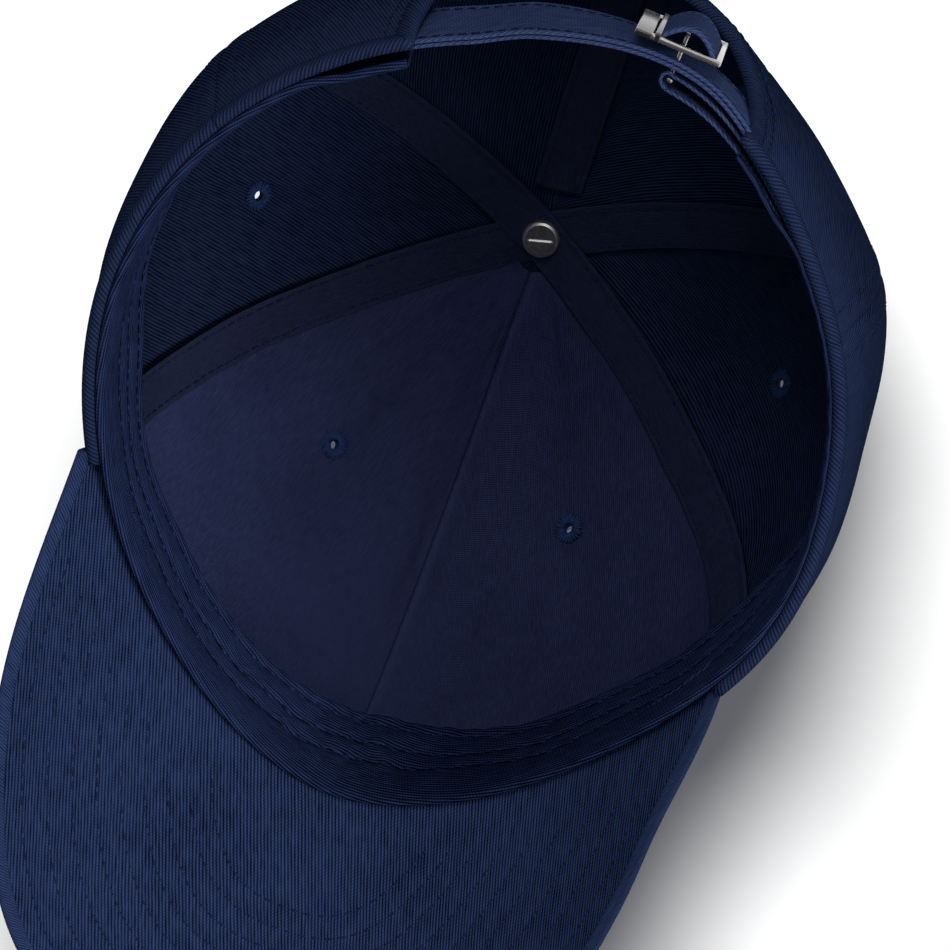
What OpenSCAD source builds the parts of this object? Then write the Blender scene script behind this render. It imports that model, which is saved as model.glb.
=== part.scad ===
// Six-panel baseball cap: crown up, brim toward -Y, the rim of the head opening round the origin.
// Cloth pieces are thin shells laid over one another the way they are sewn; the back closes with a
// strap that runs through a metal slide buckle.

/* [Crown] */
// Radius of the shell's outer face at the rim, sides and back
rim_r = 88; // [84:0.5:92]
// Distance from the middle of the rim to the front of the shell
front_len = 108; // [103:0.5:113]
// Roundness of the front of the rim seen from above, 2 is an ellipse
front_round = 1.75; // [1.7:0.05:2]
// Height of the crown above the rim
crown_h = 124; // [116:1:130]
// Swelling of the crown above the rim, as a share of its radius
swell = 0.36; // [0.28:0.02:0.4]
// Squareness of the crown seen from the side
square = 1.85; // [1.75:0.05:2.1]
// How far the top button sits behind the middle of the rim
button_back = 6; // [2:0.5:9]
// Rise of the rim over the brim
front_rise = 2; // [0:0.5:4]
// Dip of the rim at the temples
side_drop = 9; // [5:0.5:11]
// Angle of the front side seams from the middle of the front
seam_front = 62; // [58:1:66]
// Angle of the back side seams from the middle of the front
seam_back = 120; // [117:1:123]

/* [Cloth] */
// Thickness of the shell cloth
cloth_t = 1.2; // [1:0.1:1.5]
// Thickness of the lining of the two front panels
lining_t = 0.5; // [0.4:0.1:0.8]
// Thickness of the seam tape
tape_t = 0.6; // [0.4:0.1:0.8]
// Width of the seam tape
tape_w = 12; // [9:0.5:14]
// Free space between sewn layers
layer_gap = 0.1; // [0.05:0.05:0.2]
// Free space between the lining and the seam tape
tape_gap = 0.4; // [0.35:0.05:0.5]
// Free space between the edges of two panels at a seam
seam_gap = 0.1; // [0.05:0.05:0.2]
// How far the ends of the seam tape reach down behind the sweatband
tape_tuck = 6; // [4:0.5:9]
// Distance from the button's post at which the tapes turn over the top
tape_turn = 1; // [0.8:0.1:1.4]
// Height of the lower edge of the lining over the rim
lining_low = 3; // [2:0.5:5]
// Distance of the upper edge of the lining from the middle of the button
lining_top = 8; // [7:0.5:10]

/* [Sweatband] */
// Height of the sweatband
band_h = 33; // [30:1:38]
// Thickness of the sweatband
band_t = 1.2; // [1:0.1:1.6]
// How far the sweatband's free edge stands in from the crown
band_lean = 6; // [0:0.5:7]
// Height of the seam that joins the sweatband to the rim
hem_h = 1.2; // [1:0.1:1.6]

/* [Back opening] */
// Half angle of the half-moon opening, seen from the middle of the rim
open_half = 26.5; // [24:0.5:28]
// Height of the half-moon opening
open_h = 48; // [42:1:54]

/* [Eyelets] */
// Outer diameter of a sewn eyelet
eyelet_d = 8; // [7:0.25:9]
// Diameter of the air hole
eyelet_hole = 2.4; // [2:0.1:3]
// Thickness of the thread on each face of the cloth
eyelet_t = 0.5; // [0.4:0.1:0.8]
// Thickness of the thread round the air hole
eyelet_wall = 0.45; // [0.4:0.05:0.6]
// Free space between the thread and the outer face of the cloth
eyelet_up = 0.3; // [0.25:0.05:0.4]
// Free space between the thread and the inner face of the cloth
eyelet_down = 0.9; // [0.85:0.05:1.1]

/* [Top button] */
// Diameter of the covered button
button_d = 14; // [12:0.5:16]
// Height of the covered button
button_h = 5.2; // [4.5:0.1:6.5]
// Diameter of the button post
post_d = 3.6; // [3:0.1:4]
// Thickness of the cloth over the button
button_skin = 0.7; // [0.5:0.05:0.8]
// Free space under the button, and round its post in the tape
button_gap = 0.4; // [0.3:0.05:0.5]
// Diameter of the tack inside the crown
tack_d = 9; // [8:0.25:11]
// Thickness of the tack
tack_h = 1.8; // [1.6:0.1:2.2]
// Thickness of the tack's floor under the post
tack_floor = 0.8; // [0.7:0.05:0.9]
// Rounding of the tack's rim
tack_round = 0.5; // [0.3:0.1:0.7]
// Length of the tack's slot
slot_len = 6.5; // [5:0.25:7]
// Width of the tack's slot
slot_w = 0.7; // [0.5:0.1:1]
// Depth of the tack's slot
slot_deep = 0.4; // [0.3:0.05:0.5]

/* [Brim] */
// Length of the brim in front of the shell
brim_len = 72; // [66:1:78]
// How far the brim stands out past its turned edge where it leaves the temples
brim_side = 1.8; // [1.6:0.1:2]
// Angle at which the brim meets the rim, from the middle of the front
brim_angle = 64; // [60:1:68]
// Slope of the brim down to the front
brim_pitch = 18; // [14:0.5:20]
// Radius of the brim's curve from side to side
brim_arch = 70; // [66:1:90]
// Squareness of the brim outline
brim_square = 2.5; // [2.3:0.1:2.7]
// Thickness of the stiffening board
board_t = 2; // [1.6:0.1:2.4]
// Thickness of each brim cover
cover_t = 0.8; // [0.6:0.1:1]
// Width of the turned and stitched edge
edge_w = 3.2; // [2.6:0.2:4]
// Free space between the brim and the shell
brim_gap = 0.3; // [0.25:0.05:0.35]
// Distance over which the brim comes up from its arch to the rim
brim_blend = 55; // [50:1:60]

/* [Strap and buckle] */
// Width of the strap
strap_w = 20; // [18:0.5:21]
// Thickness of the doubled strap
strap_t = 1.8; // [1.5:0.1:2]
// Half angle covered by the strap, ends hidden in the pockets
strap_half = 48; // [46:1:49]
// Height of the strap's lower edge over the rim
strap_z = 2; // [1.5:0.25:3]
// Free space on each face of the strap
strap_gap = 0.4; // [0.35:0.05:0.5]
// Angle of the buckle from the middle of the back, toward the wearer's right
buckle_at = 14.5; // [13:0.5:15]
// Half length of the buckle
buckle_half = 10.5; // [10:0.25:11]
// Thickness of the buckle wire
wire_t = 1.8; // [1.6:0.1:2]
// Width of the end plate
plate_w = 5.5; // [4.5:0.25:6]
// Diameter of the middle bar
bar_d = 2; // [1.8:0.1:2.2]
// Free space round the middle bar in its loop
bar_play = 0.2; // [0.15:0.05:0.25]
// Half width of the lugs that carry the middle bar
lug_half = 1.3; // [1.2:0.05:1.5]
// Free space between the strap and the buckle's ends
end_gap = 0.55; // [0.5:0.05:0.65]
// Free space between the strap's edges and the buckle's long sides
rod_gap = 0.7; // [0.6:0.05:0.8]
// Thickness of the loop tape round the middle bar
loop_t = 0.6; // [0.5:0.1:0.7]
// Free space between the strap and the loop tape
loop_gap = 0.8; // [0.75:0.05:0.9]
// Free space between the two legs of the loop tape
leg_gap = 0.3; // [0.25:0.05:0.4]
// How far the loop tape is narrower than the strap at each edge
loop_trim = 0.5; // [0.4:0.1:0.8]
// How far the legs of the loop tape reach into the pocket
loop_tuck = 7; // [6:0.25:8]
// Height of the strap's hump between the buckle bars
hump_h = 5; // [4:0.25:6]
// Free space between the hump and the buckle's ends
hump_gap = 0.15; // [0.15:0.05:0.25]
// Free space between the hump and the strap under it
hump_seat = 0.45; // [0.4:0.05:0.5]
// How far the hump is narrower than the strap at each edge
hump_trim = 0.2; // [0.2:0.05:0.3]

/* [Hidden] */
$fn = 48;
deg = 180 / PI;
e_front = 2 / front_round;
e_side = 2 / square;
lining_off = cloth_t + layer_gap;
tape_off = lining_off + lining_t + tape_gap;
tape_over = tape_t + 1.5 * layer_gap;
strap_off = cloth_t + strap_gap;
strap_mid = strap_off + strap_t / 2;
band_off = strap_off + strap_t + strap_gap;
mouth_flare = loop_gap + 2 * (loop_t + leg_gap);
mouth_full = open_half + 9.5;
mouth_ramp = 10;
seam_slip = seam_gap / 2 / rim_r * deg;
apex_r = post_d / 2 + 7 * layer_gap;
brim_back = front_len + brim_len;
temple = plan(brim_angle, 0);
brim_half = temple[0] + edge_w + brim_side;
brim_y = temple[1] + brim_side;
brim_t = board_t + 2 * cover_t + 2 * layer_gap;

function bump(u, c, w) = abs(u - c) < w ? pow(cos(90 * (u - c) / w), 2) : 0;
function ramp(x) = let (q = max(0, min(1, x))) q * q * (3 - 2 * q);
function spow(v, e) = sign(v) * pow(abs(v), e);

// rim of the shell seen from above, at an offset inward; angle 0 is the front
function plan(a, off) = cos(a) > 0
    ? [(rim_r - off) * spow(sin(a), e_front), -(front_len - off) * pow(cos(a), e_front)]
    : [(rim_r - off) * sin(a), -(rim_r - off) * cos(a)];

function rim_z(a) = front_rise * bump(abs(a), 0, 60) - side_drop * bump(abs(a), 75, 45);

// crown surface: p runs from 0 at the rim to 90 at the button
function lift(p) = pow(sin(p), e_side);
function reach(p) = pow(cos(p), e_side) * (1 + swell * lift(p));
function crown(a, p, off) =
    let (q = plan(a, off), t = lift(p), r = reach(p))
    [q[0] * r, button_back * t * t + q[1] * r, (crown_h - off) * t + rim_z(a) * (1 - t)];

// value of p at a height over the rim, and close to the top at a radius from the button
function p_at(z) = asin(pow(max(z, 0) / crown_h, 1 / e_side));
function p_top(r) = acos(pow(r / (rim_r * (1 + swell)), 1 / e_side));
function wall(z, off) = (rim_r - off) * reach(p_at(z));
function steps(lo, hi, n) = [for (k = [0:n]) lo + (hi - lo) * k / n];
function unit(v) = v / norm(v);
function normal_at(a, p, off) = unit(cross(
    crown(a + 0.5, p, off) - crown(a - 0.5, p, off),
    crown(a, p + 0.5, off) - crown(a, p - 0.5, off)));

// thin solid between an outer and an inner grid of points, each a list of columns
module patch(outer, inner) {
    m = len(outer);
    n = len(outer[0]);
    o = m * n;
    pts = concat([for (c = outer) each c], [for (c = inner) each c]);
    skin = [for (i = [0:m - 2]) for (j = [0:n - 2]) let (k = i * n + j)
        each [[k, k + 1, k + n + 1], [k, k + n + 1, k + n]]];
    back = [for (f = skin) [f[2] + o, f[1] + o, f[0] + o]];
    low = [for (i = [0:m - 2]) let (k = i * n)
        each [[k, k + n, k + n + o], [k, k + n + o, k + o]]];
    high = [for (i = [0:m - 2]) let (k = i * n + n - 1)
        each [[k + n, k, k + o], [k + n, k + o, k + n + o]]];
    left = [for (j = [0:n - 2]) each [[j + 1, j, j + o], [j + 1, j + o, j + 1 + o]]];
    right = [for (j = [0:n - 2]) let (k = o - n + j)
        each [[k, k + 1, k + 1 + o], [k, k + 1 + o, k + o]]];
    polyhedron(pts, concat(skin, back, low, high, left, right), convexity = 10);
}

// levels of p shared by the layers of the crown, so that their facets lie along each other
levels = concat(steps(0, p_top(lining_top), 13), [p_top(apex_r)]);

// cloth between two offsets of the crown, over a list of angles with a list of p for each
module crown_cloth(cols, ps, off0, off1) {
    patch(
        [for (i = [0:len(cols) - 1]) [for (p = ps[i]) crown(cols[i], p, off0)]],
        [for (i = [0:len(cols) - 1]) [for (p = ps[i]) crown(cols[i], p, off1)]]);
}

// places children on the crown's outer face with +Z along the outward normal
module on_crown(a, p) {
    n = normal_at(a, p, 0);
    translate(crown(a, p, 0))
        rotate([0, acos(n[2]), atan2(n[1], n[0])])
            children();
}

// air holes: angle, p and cloth thickness for front, side and back panels
eye_front = [34, 55, lining_off + lining_t];
eye_side = [(seam_front + seam_back) / 2 - 4, 50.5, cloth_t];
eye_back = [(seam_back + 180) / 2, 46, cloth_t];
hole_r = eyelet_hole / 2 + eyelet_wall + layer_gap;

module eye_bore(s, e) {
    on_crown(s * e[0], e[1])
        cylinder(r = hole_r, h = eyelet_d + 4 * cloth_t, center = true, $fn = 24);
}

module eyelet(s, e) {
    r0 = eyelet_hole / 2;
    r1 = r0 + eyelet_wall;
    r2 = eyelet_d / 2;
    dn = -e[2] - eyelet_down;
    color([0.13, 0.17, 0.36])
        on_crown(s * e[0], e[1])
            rotate_extrude($fn = 32)
                polygon([[r0, dn - eyelet_t], [r2 - eyelet_t / 2, dn - eyelet_t], [r2, dn], [r1, dn],
                    [r1, eyelet_up], [r2, eyelet_up], [r2 - eyelet_t / 2, eyelet_up + eyelet_t],
                    [r0, eyelet_up + eyelet_t]]);
}

// one panel of the shell or its lining, on the side s, with its air hole
module panel(s, cols, ps, off0, off1, eye) {
    difference() {
        mirror([s < 0 ? 1 : 0, 0, 0])
            crown_cloth(cols, ps, off0, off1);
        eye_bore(s, eye);
    }
}

front_cols = steps(seam_slip, seam_front - seam_slip, 10);
side_cols = steps(seam_front + seam_slip, seam_back - seam_slip, 10);

module front_panel(s) {
    color([0.10, 0.14, 0.31])
        panel(s, front_cols, [for (c = front_cols) levels], 0, cloth_t, eye_front);
}

module side_panel(s) {
    color([0.08, 0.12, 0.28])
        panel(s, side_cols, [for (c = side_cols) levels], 0, cloth_t, eye_side);
}

// the half-moon opening is cut out of the two back panels
module back_panel(s) {
    wide = steps(seam_back + seam_slip, 180 - open_half, 5);
    turns = steps(75, 0, 5);
    arch = [for (t = turns) 180 - max(open_half * sin(t), seam_slip)];
    top = p_top(apex_r);
    ps = concat([for (c = wide) steps(0, top, 14)],
        [for (t = turns) steps(p_at(open_h * cos(t)), top, 14)]);
    color([0.09, 0.13, 0.30])
        panel(s, concat(wide, arch), ps, 0, cloth_t, eye_back);
}

module front_lining(s) {
    ps = concat([p_at(lining_low)], [for (k = [1:13]) levels[k]]);
    color([0.12, 0.14, 0.30])
        panel(s, front_cols, [for (c = front_cols) ps], lining_off, lining_off + lining_t, eye_front);
}

// seam tape: a ribbon along one seam, over the top and down the seam across from it
function across(a) = let (d = plan(a + 1, 0) - plan(a - 1, 0)) unit([d[0], d[1], 0]);
function ribbon(list, w) = [for (k = [-1:1]) [for (c = list) c[0] + c[1] * k * w / 2]];
function lay(a, ps, off, over, side) = [for (p = ps)
    [crown(a, p, off + over * ramp((p - cross_at) / cross_ramp)), side * across(a)]];

// where one tape begins to climb over the other near the top, and how near the top both meet
cross_at = 66;
cross_ramp = 10;
tape_peak = p_top(post_d / 2 + button_gap + tape_turn);

module cross_tape(s, over) {
    ps = steps(p_at(band_h - tape_tuck), tape_peak, 13);
    back = [for (k = [13:-1:0]) ps[k]];
    a0 = s * seam_front;
    a1 = -s * seam_back;
    function face(off) = ribbon(concat(lay(a0, ps, off, over, 1), lay(a1, back, off, over, -1)), tape_w);
    color([0.10, 0.12, 0.29])
        difference() {
            patch(face(tape_off), face(tape_off + tape_t));
            translate([0, button_back, crown_h - tape_w])
                cylinder(r = post_d / 2 + button_gap, h = 2 * tape_w, $fn = 24);
        }
}

module back_tape() {
    ps = steps(p_at(open_h + cloth_t), p_top(tape_w + 2), 10);
    function face(off) = ribbon(lay(180, ps, off, 0, 1), tape_w);
    color([0.10, 0.12, 0.28])
        patch(face(tape_off), face(tape_off + tape_t));
}

// sweatband: open at the back, flared at both mouths so that strap and loop can enter the pockets
function mouth(a) = ramp((mouth_full + mouth_ramp - 180 + abs(a)) / mouth_ramp);
function band_face(a, z) =
    band_off + mouth_flare * mouth(a) + band_lean * (1 - mouth(a)) * z / band_h;

module sweatband() {
    edge = 180 - open_half - 0.5;
    calm = seam_back + 6;
    cols = concat(steps(-edge, -calm, 8), steps(-seam_back, seam_back, 40), steps(calm, edge, 8));
    sewn = cloth_t + layer_gap;
    rise = [for (k = [1:3]) band_h * k / 3];
    function outside(a) = concat(
        [crown(a, 0, sewn), crown(a, p_at(hem_h), sewn), crown(a, p_at(hem_h), band_face(a, hem_h))],
        [for (z = rise) crown(a, p_at(z), band_face(a, z))]);
    function inside(a) = [for (z = concat([0, hem_h / 2, hem_h], rise))
        crown(a, p_at(z), band_face(a, z) + band_t)];
    color([0.12, 0.17, 0.36])
        patch([for (a = cols) outside(a)], [for (a = cols) inside(a)]);
}

// top button: cloth cover, metal shell with its post, and the slotted tack inside the crown
tack_top = crown_h - tape_off - tape_over - tape_t - 2 * layer_gap;
button_z = crown_h + button_gap;
slot_turn = 10;

module at_button(z) {
    translate([0, button_back, z])
        children();
}

function dome(r, h, n) = [for (k = [0:n]) [r * cos(90 * k / n), h * sin(90 * k / n)]];
function flip(list) = [for (k = [len(list) - 1:-1:0]) list[k]];

module button_cover() {
    outer = dome(button_d / 2, button_h, 10);
    inner = dome(button_d / 2 - button_skin, button_h - button_skin, 10);
    color([0.09, 0.13, 0.30])
        at_button(button_z)
            rotate_extrude()
                polygon(concat(outer, flip(inner)));
}

module button_shell() {
    skin = button_skin + layer_gap / 2;
    foot = tack_top - tack_h + tack_floor + layer_gap;
    color([0.70, 0.71, 0.72]) {
        at_button(button_z)
            rotate_extrude()
                polygon(concat([[0, 0]], dome(button_d / 2 - skin, button_h - skin, 10)));
        at_button(foot)
            cylinder(d = post_d, h = button_z - foot + skin);
    }
}

module button_tack() {
    r = tack_d / 2;
    color([0.78, 0.78, 0.77])
        at_button(tack_top - tack_h)
            difference() {
                rotate_extrude()
                    polygon([[0, 0], [r - tack_round, 0], [r, tack_round], [r, tack_h], [0, tack_h]]);
                translate([0, 0, tack_floor])
                    cylinder(d = post_d + layer_gap, h = tack_h);
                rotate([0, 0, slot_turn])
                    translate([-slot_len / 2, -slot_w / 2, slot_deep - tack_h])
                        cube([slot_len, slot_w, tack_h]);
            }
}

// brim: g runs from -1 to 1 along the rim, s from 0 at the rim to 1 at the outer edge, and dz is the
// height of a layer over the middle of the brim; the inner edge follows the leaning wall of the crown
function brim_in(g, dz) =
    let (c = crown(brim_angle * g, p_at(brim_t / 2 + dz), -brim_gap))
    [c[0], c[1]];
function brim_out(g, trim) = [
    (brim_half - trim) * spow(sin(90 * g), 2 / brim_square),
    brim_y - (brim_back + brim_y - trim) * pow(abs(cos(90 * g)), 2 / brim_square)];
function sag(q) = front_rise + (q[1] + front_len) * tan(brim_pitch) - q[0] * q[0] / (2 * brim_arch);
function brim_at(g, s, trim, dz) =
    let (root = brim_in(g, 0), i = brim_in(g, dz), q = i + (brim_out(g, trim) - i) * s)
    let (fix = rim_z(brim_angle * g) + brim_t / 2 - sag(root))
    [q[0], q[1], sag(q) + fix * pow(max(0, 1 - norm(q - root) / brim_blend), 1.5) + dz];

brim_cols = steps(-1, 1, 28);
function brim_face(trim, dz) =
    [for (g = brim_cols) [for (s = steps(1, 0, 7)) brim_at(g, s, trim, dz)]];

module brim_sheet(trim, dz0, dz1) {
    patch(brim_face(trim, dz1), brim_face(trim, dz0));
}

module brim_board() {
    color([0.85, 0.85, 0.83])
        brim_sheet(edge_w + 3 * layer_gap, -board_t / 2, board_t / 2);
}

// the upper cover turns under round the edge and is stitched down there
module brim_top_cover() {
    low = board_t / 2 + layer_gap;
    function edge(dz) = [for (g = brim_cols) [for (trim = [0, edge_w]) brim_at(g, 1, trim, dz)]];
    color([0.10, 0.14, 0.32]) {
        brim_sheet(0, low, low + cover_t);
        patch(edge(low + layer_gap / 10), edge(-board_t / 2 - layer_gap - cover_t));
    }
}

module brim_under_cover() {
    high = -board_t / 2 - layer_gap;
    color([0.13, 0.18, 0.38])
        brim_sheet(edge_w + layer_gap, high - cover_t, high);
}

// strap: part of a cone about the vertical axis, so that it can slide along its own length
lean = atan((wall(strap_z + strap_w, strap_mid) - wall(strap_z, strap_mid)) / strap_w);
strap_c = strap_z + strap_w / 2;
strap_r = wall(strap_c, strap_mid);

function strap_side(off) = [for (z = steps(strap_z, strap_z + strap_w, 4)) [wall(z, off), z]];

module strap() {
    color([0.14, 0.19, 0.40])
        rotate([0, 0, 90 - strap_half])
            rotate_extrude(angle = 2 * strap_half, $fn = 160)
                polygon(concat(strap_side(strap_off + strap_t), flip(strap_side(strap_off))));
}

// buckle frame of reference: X along the strap, Y outward, Z along the middle bar
module at_buckle() {
    rotate([0, 0, buckle_at])
        translate([0, strap_r, strap_c])
            rotate([-lean, 0, 0])
                children();
}

frame_y = strap_t / 2 + end_gap;
rod_z = strap_w / 2 + rod_gap;
bar_x = -1;
loop_y = -strap_t / 2 - loop_gap;
bar_y = loop_y - loop_t - bar_play - bar_d / 2;

module buckle_frame() {
    half_z = rod_z + wire_t;
    color([0.72, 0.73, 0.74])
        at_buckle() {
            translate([buckle_half - plate_w, frame_y, -half_z])
                cube([plate_w, wire_t, 2 * half_z]);
            translate([-buckle_half, frame_y, -half_z])
                cube([wire_t, wire_t, 2 * half_z]);
            for (z = [-half_z, rod_z]) {
                translate([-buckle_half, frame_y, z])
                    cube([2 * buckle_half, wire_t, wire_t]);
                translate([bar_x - lug_half, bar_y - lug_half, z])
                    cube([2 * lug_half, frame_y - bar_y + lug_half + layer_gap, wire_t]);
            }
            translate([bar_x, bar_y, -rod_z - wire_t / 2])
                cylinder(d = bar_d, h = 2 * rod_z + wire_t);
        }
}

// part of the strap that stands up in a hump between the two ends of the buckle
module strap_hump() {
    x0 = -buckle_half + wire_t + hump_gap;
    x1 = buckle_half - plate_w - hump_gap;
    r = (x1 - x0) / 2;
    color([0.14, 0.19, 0.40])
        at_buckle()
            translate([(x0 + x1) / 2, strap_t / 2 + hump_seat, hump_trim - strap_w / 2])
                linear_extrude(strap_w - 2 * hump_trim)
                    polygon(concat(half_round(r, hump_h), flip(half_round(r - strap_t, hump_h - strap_t))));
}

function half_round(r, h) = [for (t = steps(0, 180, 12)) [r * cos(t), h * sin(t)]];
function bow(x) = -x * x / (2 * strap_r);

// loop tape: wraps the middle bar, both legs run into the wearer's right pocket
module buckle_loop() {
    n = 10;
    end = -(open_half - buckle_at) * strap_r / deg - loop_tuck;
    xs = steps(bar_x, end, n);
    wrap_r = bar_d / 2 + bar_play;
    wide = strap_w - 2 * loop_trim;
    y_in = bar_y - wrap_r;
    y_end = loop_y - loop_t - leg_gap;
    function outer_leg(k) = bow(xs[k]) + loop_y;
    function inner_leg(k) = bow(xs[k]) + y_in + (y_end - y_in) * ramp(k / n * 1.6);
    function strip(ys) = concat([for (k = [0:n]) [xs[k], ys[k]]],
        [for (k = [n:-1:0]) [xs[k], ys[k] - loop_t]]);
    color([0.13, 0.18, 0.38])
        at_buckle()
            translate([0, 0, -wide / 2])
                difference() {
                    union() {
                        linear_extrude(wide)
                            polygon(strip([for (k = [0:n]) outer_leg(k)]));
                        linear_extrude(wide)
                            polygon(strip([for (k = [0:n]) inner_leg(k)]));
                        translate([bar_x, bar_y, 0])
                            cylinder(r = wrap_r + loop_t, h = wide);
                    }
                    translate([bar_x, bar_y, -1])
                        cylinder(r = wrap_r, h = wide + 2);
                }
}

front_panel(1);  // front_left_panel
front_panel(-1);  // front_right_panel
side_panel(1);  // side_left_panel
side_panel(-1);  // side_right_panel
back_panel(1);  // back_left_panel
back_panel(-1);  // back_right_panel
front_lining(1);  // front_left_lining
front_lining(-1);  // front_right_lining
back_tape();  // back_center_tape
cross_tape(1, 0);  // left_cross_tape
cross_tape(-1, tape_over);  // right_cross_tape
eyelet(1, eye_front);  // front_left_eyelet
eyelet(-1, eye_front);  // front_right_eyelet
eyelet(1, eye_side);  // side_left_eyelet
eyelet(-1, eye_side);  // side_right_eyelet
eyelet(1, eye_back);  // back_left_eyelet
eyelet(-1, eye_back);  // back_right_eyelet
button_cover();
button_shell();
button_tack();
sweatband();
brim_board();
brim_top_cover();
brim_under_cover();
strap();
strap_hump();
buckle_frame();
buckle_loop();
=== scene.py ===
import math
from random import Random

import bmesh
import bpy
from mathutils import Matrix, Vector, noise
from mathutils.bvhtree import BVHTree
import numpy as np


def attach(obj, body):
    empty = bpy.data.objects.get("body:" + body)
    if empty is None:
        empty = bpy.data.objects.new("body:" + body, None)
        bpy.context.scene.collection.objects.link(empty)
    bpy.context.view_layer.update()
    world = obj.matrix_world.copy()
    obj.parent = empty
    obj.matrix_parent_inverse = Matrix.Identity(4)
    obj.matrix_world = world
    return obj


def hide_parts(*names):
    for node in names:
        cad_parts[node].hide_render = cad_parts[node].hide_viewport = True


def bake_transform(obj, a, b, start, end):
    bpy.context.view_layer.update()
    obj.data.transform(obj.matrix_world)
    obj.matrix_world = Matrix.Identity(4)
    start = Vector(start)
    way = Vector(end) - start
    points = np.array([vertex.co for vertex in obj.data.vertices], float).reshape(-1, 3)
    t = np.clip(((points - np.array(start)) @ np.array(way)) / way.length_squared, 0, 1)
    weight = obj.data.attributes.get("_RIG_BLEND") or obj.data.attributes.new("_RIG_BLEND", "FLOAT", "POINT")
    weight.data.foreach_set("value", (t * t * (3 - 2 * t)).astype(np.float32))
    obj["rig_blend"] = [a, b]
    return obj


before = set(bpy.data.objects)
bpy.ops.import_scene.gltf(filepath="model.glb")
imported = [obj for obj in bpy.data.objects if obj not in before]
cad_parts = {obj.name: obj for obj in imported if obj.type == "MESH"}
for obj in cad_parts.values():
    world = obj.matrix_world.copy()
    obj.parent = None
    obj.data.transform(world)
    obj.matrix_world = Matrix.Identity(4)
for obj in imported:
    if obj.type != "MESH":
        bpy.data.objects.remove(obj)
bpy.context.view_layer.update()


# Crown shell: six gores of navy cotton twill, sewn edge to edge up to the button. The seams sink in
# grooves, and the lower edge is turned up in a narrow rolled hem at the rim and round the half-moon.
rim_r, front_len, crown_h = 0.088, 0.108, 0.124
swell, button_back = 0.36, 0.006
e_front, e_side = 2 / 1.75, 2 / 1.85
front_rise, side_drop = 0.002, 0.009
seam_front, seam_back = 62, 120
open_half, open_h = 26.5, 0.048
apex_r, shell_t = 0.0025, 0.0007
row_off, air_hole_r = 0.0054, 0.00175
brim_angle, brim_t = 64, 0.0038
air_holes = {"front": (34, 55), "side": (87, 50.5), "back": (150, 46)}


def ramp(x):
    """Smooth step from 0 to 1."""
    x = min(max(x, 0), 1)
    return x * x * (3 - 2 * x)


def ridge(d, width):
    """Smooth bump, 1 where d is 0."""
    return math.exp(-(d / width) ** 2)


def turn(a, b):
    """Signed angle from b to a, in degrees."""
    return (a - b + 180) % 360 - 180


def plan(a, off):
    """Outline of the rim at angle a from the front, off inside it."""
    s, c = math.sin(math.radians(a)), math.cos(math.radians(a))
    if c > 0:
        return math.copysign((rim_r - off) * abs(s) ** e_front, s), -(front_len - off) * c ** e_front
    return (rim_r - off) * s, -(rim_r - off) * c


def rim_z(a):
    """Height of the rim, which rises at the brim and drops over the ears."""
    a = abs(turn(a, 0))
    rise = math.cos(math.radians(1.5 * a)) ** 2 if a < 60 else 0
    drop = math.cos(math.radians(2 * (a - 75))) ** 2 if 30 < a < 120 else 0
    return front_rise * rise - side_drop * drop


def p_at(z):
    """Angle up the crown at which the cloth stands z over the rim."""
    return math.degrees(math.asin((z / crown_h) ** (1 / e_side)))


def p_within(r):
    """Angle up the crown at which the cloth comes within r of the button."""
    return math.degrees(math.acos((r / (rim_r * (1 + swell))) ** (1 / e_side)))


def reach(p):
    """Share of the rim's outline that the crown has at p degrees up."""
    t = math.sin(math.radians(p)) ** e_side
    return math.cos(math.radians(p)) ** e_side * (1 + swell * t)


def crown(a, p, off=0.0):
    """Point of the crown at angle a from the front and p degrees up from the rim, off inside its face."""
    t = math.sin(math.radians(p)) ** e_side
    r = reach(p)
    rad = math.radians(a)
    give = noise.noise(Vector((math.sin(rad), math.cos(rad), p / 60)) * 3.1)
    worked = (0.005 * ridge(turn(a, -157), 17) - 0.0015 * ridge(turn(a, 142), 26)
              + 0.0024 * ridge(turn(a, -74), 15))
    bulge = (0.0065 * ridge(turn(a, -172), 22) + 0.004 * ridge(turn(a, 160), 24)
             + 0.0034 * ridge(turn(a, 116), 28) + 0.0032 * ridge(turn(a, -120), 27))
    off -= 0.0016 * give * ramp(p / 18) * ramp((84 - p) / 20)
    off -= worked * max(0, 1 - t * crown_h / 0.045) + bulge * ramp(p / 22) * ramp((66 - p) / 40)
    x, y = plan(a, off)
    return Vector((x * r, button_back * t * t + y * r, (crown_h - off) * t + rim_z(a) * (1 - t)))


def facing(a, p, off=0.0):
    """Outward direction of the crown's cloth."""
    along = crown(a + 0.5, p, off) - crown(a - 0.5, p, off)
    up = crown(a, min(p + 0.5, 89.5), off) - crown(a, max(p - 0.5, 0), off)
    return along.cross(up).normalized()


rise_table = [0.0]
for step in range(90):
    rise_table.append(rise_table[-1] + (crown(90, step + 1) - crown(90, step)).length)


def rise(p):
    """Length of cloth from the rim up to p."""
    k = min(int(p), 89)
    return rise_table[k] + (rise_table[k + 1] - rise_table[k]) * (p - k)


def girth(a, p):
    """Radius of the crown round its axis."""
    return math.hypot(*plan(a, 0)) * reach(p)


def lower_p(a):
    """Where the cloth starts: on the brim, at the rim, or at the edge of the half-moon."""
    bearing = abs(turn(a, 0))
    share = (180 - bearing) / open_half
    if share < 1:
        return p_at(open_h * math.sqrt(1 - share * share))
    return p_at(brim_t - 0.0004) if bearing < brim_angle else 0.0


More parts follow.
